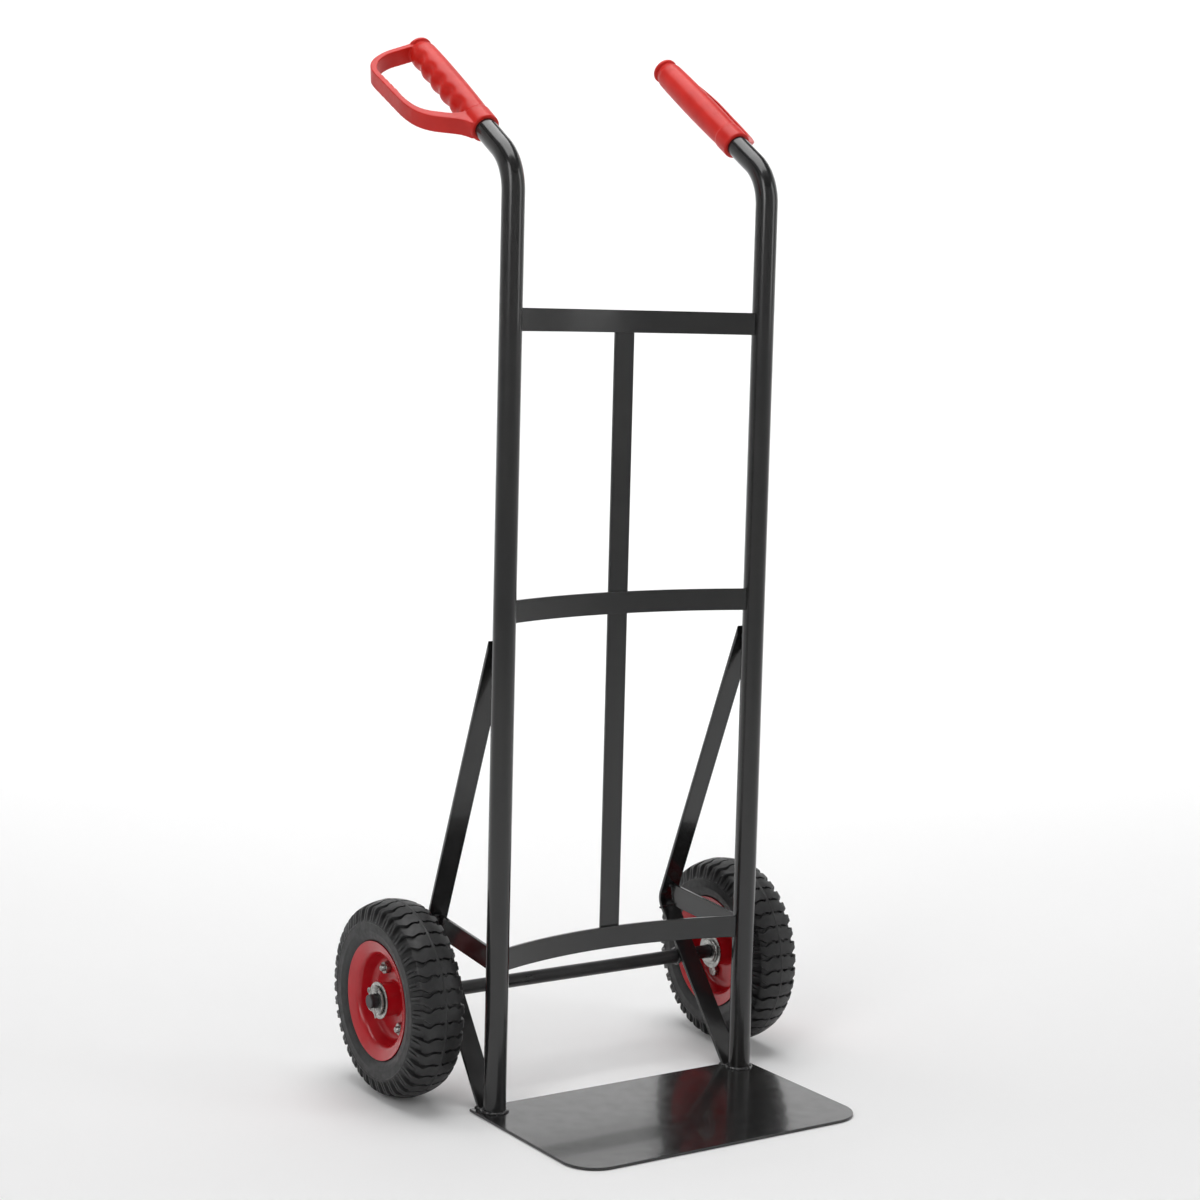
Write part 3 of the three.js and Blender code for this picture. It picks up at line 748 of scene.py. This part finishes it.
def tread_rows():
    """Rows from the centre line to the bead: (x, radius, normal, groove depth, groove half, fine rib)."""
    rows = []
    for x, radius in (
        (0, tyre_radius + SEAM_HEIGHT), (0.0004, tyre_radius + SEAM_HEIGHT * 0.8),
        (0.0009, crown(0.0009)), (0.0015, crown(0.0015)),
    ):
        rows.append((x, radius, (0, 1), 0.0, GROOVE_HALF, 0.0))
    for i in range(CROWN_ROWS + 1):
        x = GROOVE_START + (SHOULDER_X - GROOVE_START) * i / CROWN_ROWS
        lean = math.asin(x / CROWN_RADIUS)
        depth = GROOVE_DEPTH * smooth_step((x - 0.0016) / 0.0018)
        widen = GROOVE_HALF * (1 + 1.7 * smooth_step((x - 0.013) / 0.010))
        rows.append((x, crown(x), (math.sin(lean), math.cos(lean)), depth, widen, 0.0))
    side_wall = (
        (0.0262, 0.1042, 0.0044, 0.0002), (0.0274, 0.1024, 0.0046, 0.0008),
        (0.0284, 0.1000, 0.0040, 0.0016), (0.0293, 0.0972, 0.0032, 0.0018),
        (0.0300, 0.0946, 0.0024, 0.0018), (0.0305, 0.0922, 0.0016, 0.0014),
        (0.0308, 0.0904, 0.0006, 0.0006), (0.0309, 0.0896, 0, 0),
    )
    for x, radius, depth, fine in side_wall:
        rows.append((x, radius, SIDE_NORMAL, depth, SIDE_GROOVE_HALF, fine))
    for x, radius in (
        (0.0310, 0.0890), (0.03135, 0.0886), (0.03135, 0.0880), (0.0310, 0.0876), (0.0311, 0.0840),
        (0.0308, 0.0800), (0.0310, 0.0790), (0.0306, 0.0780), (0.0298, 0.0740), (0.0286, 0.0706),
        (0.0272, 0.0684), (0.0258, 0.0668), (0.0238, 0.0650), (0.0215, 0.0610), (0.0200, 0.0572),
        (0.0150, 0.0566), (0.0140, 0.0580),
    ):
        rows.append((x, radius, (0, 0), 0.0, GROOVE_HALF, 0.0))
    return rows


def wave(x):
    """How far a groove strays round the tyre at that distance from the centre line."""
    hook = 0.0014 * math.exp(-((x - 0.0048) / 0.0018) ** 2)
    hump = 0.0028 * math.exp(-((x - 0.0178) / 0.0042) ** 2)
    return hook + hump - 0.0012 * smooth_step((x - 0.021) / 0.006)


half_rows = tread_rows()
left_rows = [(-x, r, (-n[0], n[1]), d, g, f) for x, r, n, d, g, f in half_rows[1:]]
inner_wall = [(x, r, (0, 0), 0.0, GROOVE_HALF, 0.0) for x, r in (
    (0.016, 0.062), (0.025, 0.084), (0.019, 0.098), (0, 0.1034),
    (-0.019, 0.098), (-0.025, 0.084), (-0.016, 0.062),
)]
rows = left_rows[::-1] + half_rows + inner_wall

begin()
bpy.ops.mesh.primitive_circle_add(vertices=len(rows), radius=1)
tyre = bpy.context.object
tyre.name = "tyre_pitch"
for vertex, row in zip(tyre.data.vertices, rows):
    vertex.co = (row[0], 0, row[1])
pitch_turn = 2 * math.pi / PITCHES
bpy.ops.object.mode_set(mode="EDIT")
bpy.ops.mesh.select_all(action="SELECT")
bpy.ops.mesh.spin(steps=COLUMNS, angle=pitch_turn, center=(0, 0, 0), axis=(1, 0, 0))
bpy.ops.object.mode_set(mode="OBJECT")

pitch_mesh = tyre.data
row_count = len(rows)
for index, vertex in enumerate(pitch_mesh.vertices):
    x, radius, normal, depth, groove_half, fine = rows[index % row_count]
    column = index // row_count
    half_angle = groove_half / tyre_radius
    if column <= 3:
        angle = GROOVE_EDGE[column] * half_angle
    elif column >= COLUMNS - 3:
        angle = pitch_turn - GROOVE_EDGE[COLUMNS - column] * half_angle
    else:
        share = (column - 3) / (COLUMNS - 6)
        inset = GROOVE_EDGE[3] * half_angle
        angle = inset + (pitch_turn - 2 * inset) * share
    cut = depth if column in (0, 1, COLUMNS - 1, COLUMNS) else 0.0
    if column in (6, 7):
        cut = fine
    stray = wave(abs(x) if radius > RIB_FOOT_RADIUS else SHOULDER_X)
    angle -= stray / tyre_radius
    cut_x = x - normal[0] * cut
    cut_radius = radius - normal[1] * cut
    vertex.co = (cut_x, cut_radius * math.sin(angle), cut_radius * math.cos(angle))

begin()
tyre.select_set(True)
bpy.context.view_layer.objects.active = tyre
bpy.ops.object.mode_set(mode="EDIT")
bpy.ops.mesh.select_all(action="SELECT")
bpy.ops.mesh.spin(
    steps=PITCHES - 1,
    dupli=True,
    angle=2 * math.pi * (PITCHES - 1) / PITCHES,
    center=(0, 0, 0),
    axis=(1, 0, 0),
)
bpy.ops.mesh.select_all(action="SELECT")
bpy.ops.mesh.remove_doubles(threshold=0.00002)
bpy.ops.mesh.normals_make_consistent(inside=False)
bpy.ops.object.mode_set(mode="OBJECT")
bpy.ops.object.shade_smooth_by_angle(angle=math.radians(38))

for label, side in SIDES:
    place = Matrix.Translation((side * wheel_x, axle_centre.y, axle_centre.z))
    casing = place_copy(tyre, label + "_tyre_casing", place)
    hand_over(casing, rubber, "tyre", label + "_wheel", label + "_tyre")
bpy.data.objects.remove(tyre)


# Rims. Two pressed steel dishes bolted back to back, each with a coned outer flange, a round well
# and a flat web, and a steel hub tube through both. All of it is stoved gloss red.
red_paint = new_finish("gloss_red_stove_enamel", 0.24, coat=0.1, coat_roughness=0.06)
vary_colour(red_paint, noise(red_paint, 25), (0.40, 0.005, 0.011), (0.48, 0.009, 0.016))
vary_roughness(red_paint, noise(red_paint, 40, 3), 0.21, 0.27)
raise_bump(red_paint, noise(red_paint, 400, 2), 0.00006, 0.2)

rim_low, rim_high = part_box("right_outer_rim")
rim_radius = (rim_high.z - rim_low.z) / 2
hub_low, hub_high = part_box("right_hub_tube")
hub_radius = (hub_high.z - hub_low.z) / 2
hub_half = (hub_high.x - hub_low.x) / 2
SHEET = 0.002
FLANGE_FACE = 0.0282

rim_profile = rounded([
    (hub_radius, 0.0002, 0), (hub_radius, 0.0022, 0),
    (0.0475, 0.0022, 0.007), (0.0518, 0.0204, 0.003),
    (0.0546, 0.0240, 0.003), (rim_radius - 0.0016, FLANGE_FACE - 0.0006, 0.002),
    (rim_radius, FLANGE_FACE - 0.0002, 0.0007), (rim_radius, FLANGE_FACE - SHEET, 0),
    (0.0560, 0.0220, 0.003), (0.0538, 0.0198, 0.002), (0.0500, 0.0002, 0.004),
], 8)


def wheel_faces(side):
    """The wheel's place with the piece's Z pointing out of its outer face, then of its inner face."""
    turn = Matrix.Rotation(math.pi, 4, "Z") if side < 0 else Matrix.Identity(4)
    outward = Matrix.Translation((side * wheel_x, axle_centre.y, axle_centre.z)) @ turn @ Z_TO_X
    return (("outer", outward), ("inner", outward @ Matrix.Rotation(math.pi, 4, "X")))


Z_TO_X = Matrix.Rotation(math.pi / 2, 4, "Y")
TUBE_WALL = 0.0025
FILLET = 0.0035

dish = turned("rim_dish", rim_profile, 128)
hub_profile = rounded([
    (hub_radius, -hub_half, 0.0005), (hub_radius, hub_half, 0.0005),
    (hub_radius - TUBE_WALL, hub_half, 0.0005), (hub_radius - TUBE_WALL, -hub_half, 0.0005),
], 3)
hub = turned("hub_blank", hub_profile, 96)
fillet_profile = rounded([
    (hub_radius - 0.001, 0.0015, 0), (hub_radius + FILLET, 0.0015, 0),
    (hub_radius + FILLET, 0.0026, 0), (hub_radius + 0.0002, 0.0026, 0.0026),
    (hub_radius + 0.0002, 0.0062, 0), (hub_radius - 0.001, 0.0062, 0),
], 6)
fillet = turned("hub_fillet", fillet_profile, 96)
for label, side in SIDES:
    body = label + "_wheel"
    for half_name, place in wheel_faces(side):
        rim = place_copy(dish, f"{label}_{half_name}_rim_dish", place)
        hand_over(rim, red_paint, "red_paint", body, f"{label}_{half_name}_rim")
        weld = place_copy(fillet, f"{label}_{half_name}_hub_weld", place)
        hand_over(weld, red_paint, "red_paint", body)
    tube = place_copy(hub, label + "_hub_sleeve", wheel_faces(side)[0][1])
    hand_over(tube, red_paint, "red_paint", body, label + "_hub_tube")
for piece in (dish, hub, fillet):
    bpy.data.objects.remove(piece)

# Bearings and washers. Each hub end takes a zinc plated cup bearing with a lip over the tube and a
# raised race round the axle. A plated washer stands on each side of it.
zinc = new_finish("zinc_plate", 0.3, metallic=1.0)
vary_colour(zinc, noise(zinc, 160, 4), (0.28, 0.28, 0.27), (0.46, 0.46, 0.44))
vary_roughness(zinc, noise(zinc, 300, 4), 0.22, 0.42)
raise_bump(zinc, noise(zinc, 1800, 2), 0.0001, 0.4)

OUTER_WASHER_RADIUS = 0.0162
CUP_RADIUS = 0.0162
BORE_GAP = 0.0001
WASHER_GAP = 0.0003

bearing_low, bearing_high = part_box("right_outer_bearing")
bearing_radius = (bearing_high.z - bearing_low.z) / 2
bearing_start = bearing_low.x - wheel_x
bearing_face = bearing_high.x - wheel_x
bore = axle_radius + BORE_GAP
lip = hub_half + 0.0002
bearing_profile = rounded([
    (CUP_RADIUS, bearing_start, 0), (CUP_RADIUS, lip, 0), (bearing_radius, lip, 0.0004),
    (bearing_radius, lip + 0.0016, 0.0008), (0.0166, lip + 0.0016, 0.0004),
    (0.0158, lip + 0.0008, 0.0003), (0.0140, lip + 0.0008, 0.0003), (0.0134, lip + 0.0014, 0.0003),
    (0.0128, bearing_face, 0.0004), (bore, bearing_face, 0.0002), (bore, bearing_start, 0),
], 3)
bearing = turned("bearing_blank", bearing_profile, 96)
for label, side in SIDES:
    body = label + "_wheel"
    for half_name, place in wheel_faces(side):
        cup = place_copy(bearing, f"{label}_{half_name}_bearing_cup", place)
        hand_over(cup, zinc, "zinc", body, f"{label}_{half_name}_bearing")
    for half_name in ("outer", "inner"):
        low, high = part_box(f"{label}_{half_name}_washer")
        washer_radius = OUTER_WASHER_RADIUS if half_name == "outer" else (high.z - low.z) / 2
        half_thick = (high.x - low.x) / 2
        hole_radius = axle_radius + WASHER_GAP
        washer_profile = rounded([
            (washer_radius, -half_thick, 0.0003), (washer_radius, half_thick, 0.0003),
            (hole_radius, half_thick, 0.0002), (hole_radius, -half_thick, 0.0002),
        ], 3)
        ring = turned(f"{label}_{half_name}_washer_plate", washer_profile, 72)
        settle(ring, Matrix.Translation((low + high) / 2) @ Z_TO_X)
        hand_over(ring, zinc, "zinc", "frame", f"{label}_{half_name}_washer")
bpy.data.objects.remove(bearing)

# Split pins. A plated wire folded double with a round eye, pushed through the axle with its eye
# leant back. One leg is left straight and the other is hooked round the axle, so it can't come out.
WIRE_RADIUS = 0.0010
EYE_RADIUS = 0.0027
EYE_HEIGHT = 0.0126
EYE_START = -53
EYE_TURN = 286
EYE_STEPS = 12
END_TO_END = 0.020

hooked_leg = [
    (0.0118, -0.0015), (0.0088, -0.0066), (0.0045, -0.0093), (0.0012, -0.0091),
    (0.0010, 0.0085), (0.0014, 0.0100),
]
straight_leg = [
    (-0.0014, 0.0100), (-0.0010, 0.0085), (-0.0010, -0.0085), (-0.0013, -0.0105), (-0.0008, -0.0195),
]
eye = []
for step in range(EYE_STEPS + 1):
    angle = math.radians(EYE_START + EYE_TURN * step / EYE_STEPS)
    eye.append((EYE_RADIUS * math.cos(angle), EYE_HEIGHT + EYE_RADIUS * math.sin(angle)))
pin_points = hooked_leg + eye + straight_leg
for label, side in SIDES:
    begin()
    bpy.ops.mesh.primitive_circle_add(vertices=len(pin_points), radius=1)
    wire = bpy.context.object
    wire.name = label + "_split_pin_wire"
    for vertex, (y, z) in zip(wire.data.vertices, pin_points):
        vertex.co = (0, y, z)
    bpy.ops.object.mode_set(mode="EDIT")
    # The edge that joins the two ends is the only one longer than this.
    pick_edges(wire, lambda a, b: (a - b).length > END_TO_END)
    bpy.ops.mesh.delete(type="EDGE")
    bpy.ops.object.mode_set(mode="OBJECT")
    bpy.ops.object.convert(target="CURVE")
    wire.data.bevel_depth = WIRE_RADIUS
    wire.data.bevel_resolution = 3
    wire.data.use_fill_caps = True
    bpy.ops.object.convert(target="MESH")
    wire = bpy.context.object
    bpy.ops.object.shade_smooth_by_angle(angle=math.radians(50))
    settle(wire, pin_place(side))
    hand_over(wire, zinc, "zinc", "frame", label + "_split_pin")

# Rim bolts and nuts. Four plated hexagon bolts hold the two dishes together, each with its head
# inside the truck and its nut, with a turn of thread showing, on the outside.
FLATS = 0.013
CORNER_CUT = 0.0008
THREAD_RADIUS = 0.004
THREAD_PITCH = 0.00125
THREAD_LOW = -0.003
SHANK_END = 0.0125
NUT_LOW = 0.0025
NUT_HIGH = 0.0089
HEAD_LOW = -0.0078
SPANNER_TURN = 17


def hexagon(name, low, high):
    """A hexagon along Z with the corners of both its faces turned off."""
    begin()
    bpy.ops.mesh.primitive_cylinder_add(
        vertices=6, radius=FLATS / math.sqrt(3), depth=high - low, location=(0, 0, (low + high) / 2)
    )
    piece = bpy.context.object
    piece.name = name
    settle(piece)
    face_radius = FLATS / 2 - 0.0002
    widest = FLATS / 2 + 0.0012
    cone = turned("chamfer", [
        (0, low), (face_radius, low), (widest, low + CORNER_CUT),
        (widest, high - CORNER_CUT), (face_radius, high), (0, high),
    ], 48, closed=False)
    combine(piece, cone, "INTERSECT")
    bpy.ops.object.mode_set(mode="EDIT")
    bpy.ops.mesh.select_all(action="SELECT")
    bpy.ops.mesh.remove_doubles(threshold=0.00002)
    bpy.ops.mesh.normals_make_consistent(inside=False)
    bpy.ops.object.mode_set(mode="OBJECT")
    bpy.ops.object.shade_smooth_by_angle(angle=math.radians(20))
    return piece


nut = hexagon("nut_blank", NUT_LOW, NUT_HIGH)
head = hexagon("head_blank", HEAD_LOW, -NUT_LOW)
thread_profile = [(0, THREAD_LOW)]
height = THREAD_LOW
while height < SHANK_END - THREAD_PITCH:
    thread_profile += [(THREAD_RADIUS - 0.0006, height), (THREAD_RADIUS, height + THREAD_PITCH / 2)]
    height += THREAD_PITCH
thread_profile += [(THREAD_RADIUS - 0.0009, SHANK_END), (0, SHANK_END)]
shank = turned("shank_blank", thread_profile, 32, closed=False)
for label, side in SIDES:
    body = label + "_wheel"
    outward = wheel_faces(side)[0][1]
    for i in range(1, 5):
        low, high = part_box(f"{label}_rim_bolt_{i}")
        middle = (low + high) / 2
        place = Matrix.Translation((0, middle.y - axle_centre.y, middle.z - axle_centre.z)) @ outward
        turn = Matrix.Rotation(math.radians(SPANNER_TURN * i), 4, "Z")
        bolt_head = place_copy(head, f"{label}_rim_bolt_{i}_head", place @ turn)
        hand_over(bolt_head, zinc, "zinc", body, f"{label}_rim_bolt_{i}")
        bolt_shank = place_copy(shank, f"{label}_rim_bolt_{i}_shank", place)
        hand_over(bolt_shank, zinc, "zinc", body)
        rim_nut = place_copy(nut, f"{label}_rim_nut_{i}_hexagon", place @ turn)
        hand_over(rim_nut, zinc, "zinc", body, f"{label}_rim_nut_{i}")
for piece in (nut, head, shank):
    bpy.data.objects.remove(piece)

# Inner tubes and valves. Soft black rubber, the tube out of sight inside the tyre, the valve stem
# standing out of the inner dish with its cap on.
soft_rubber = new_finish("soft_black_rubber", 0.55)
vary_colour(soft_rubber, noise(soft_rubber, 80, 4), (0.018, 0.018, 0.018), (0.032, 0.031, 0.030))
vary_roughness(soft_rubber, noise(soft_rubber, 200, 4), 0.45, 0.62)
raise_bump(soft_rubber, noise(soft_rubber, 1200, 3), 0.00015, 0.3)
for label, side in SIDES:
    for name in (label + "_inner_tube", label + "_valve"):
        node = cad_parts[name]
        node.data.materials.clear()
        node.data.materials.append(soft_rubber)

# Studio. A pale round floor that curves up into its own wall, a soft box at each front corner, one
# above, two that wash the wall behind, and a camera at about the height of the top rail.
FLOOR_RADIUS = 6.0
FLOOR_LEVEL = -0.0005
WALL_HEIGHT = 5.0
COVE_RADIUS = 2.5

floor_finish = new_finish("pale_floor", 0.9)
vary_colour(floor_finish, noise(floor_finish, 0.3), (0.90, 0.90, 0.90), (0.92, 0.92, 0.92))
begin()
bpy.ops.mesh.primitive_circle_add(
    vertices=96, radius=FLOOR_RADIUS, fill_type="NGON", location=(0, 0, FLOOR_LEVEL)
)
floor = bpy.context.object
floor.name = "studio_floor"
settle(floor)
bpy.ops.object.mode_set(mode="EDIT")
pick_edges(floor, lambda a, b: a.length > 5 and b.length > 5)
bpy.ops.mesh.extrude_region_move(TRANSFORM_OT_translate={"value": (0, 0, WALL_HEIGHT)})
pick_edges(floor, lambda a, b: abs(a.z) < 0.01 and abs(b.z) < 0.01)
bpy.ops.mesh.bevel(offset=COVE_RADIUS, segments=12, affect="EDGES")
bpy.ops.object.mode_set(mode="OBJECT")
bpy.ops.object.shade_smooth_by_angle(angle=math.radians(40))
floor.data.materials.append(floor_finish)

world = bpy.data.worlds.new("studio")
world.use_nodes = True
world.node_tree.nodes["Background"].inputs["Color"].default_value = (1, 1, 1, 1)
world.node_tree.nodes["Background"].inputs["Strength"].default_value = 0.11
bpy.context.scene.world = world


def soft_box(name, where, aim, width, height, power):
    """A rectangular soft light of that size in metres and power in watts, pointed at its aim."""
    lamp = bpy.data.lights.new(name, "AREA")
    lamp.shape = "RECTANGLE"
    lamp.size = width
    lamp.size_y = height
    lamp.energy = power
    box = bpy.data.objects.new(name, lamp)
    box.location = where
    box.rotation_euler = (Vector(aim) - Vector(where)).to_track_quat("-Z", "Y").to_euler()
    bpy.context.scene.collection.objects.link(box)


soft_box("left_soft_box", (-2.6, -1.6, 2.2), (0, 0, 0.6), 1.0, 2.4, 26)
soft_box("right_soft_box", (2.4, -2.4, 2.0), (0, 0, 0.6), 1.0, 2.4, 16)
soft_box("top_soft_box", (0, 0.2, 3.2), (0, 0, 0.5), 2.4, 2.4, 62)
soft_box("left_wall_wash", (-0.4, 2.2, 3.6), (0.6, 6.0, 1.2), 3.0, 1.0, 85)
soft_box("right_wall_wash", (2.2, 1.4, 3.6), (5.4, 3.4, 1.2), 3.0, 1.0, 85)

AZIMUTH = math.radians(-33.32)
ELEVATION = math.radians(6.84)
ROLL = math.radians(1.44)
CAMERA_PLACE = (-1.5428, -2.2787, 0.8946)
FOCAL_LENGTH = 74.4
SENSOR_WIDTH = 36

backward = Vector((
    math.sin(AZIMUTH) * math.cos(ELEVATION),
    -math.cos(AZIMUTH) * math.cos(ELEVATION),
    math.sin(ELEVATION),
))
level = Vector((math.cos(AZIMUTH), math.sin(AZIMUTH), 0))
above = backward.cross(level)
camera_right = level * math.cos(ROLL) + above * math.sin(ROLL)
camera_up = above * math.cos(ROLL) - level * math.sin(ROLL)
lens = bpy.data.cameras.new("camera")
lens.lens = FOCAL_LENGTH
lens.sensor_width = SENSOR_WIDTH
camera = bpy.data.objects.new("camera", lens)
camera.matrix_world = Matrix((camera_right, camera_up, backward)).transposed().to_4x4()
camera.location = CAMERA_PLACE
bpy.context.scene.collection.objects.link(camera)
bpy.context.scene.camera = camera
bpy.context.scene.view_settings.view_transform = "Standard"
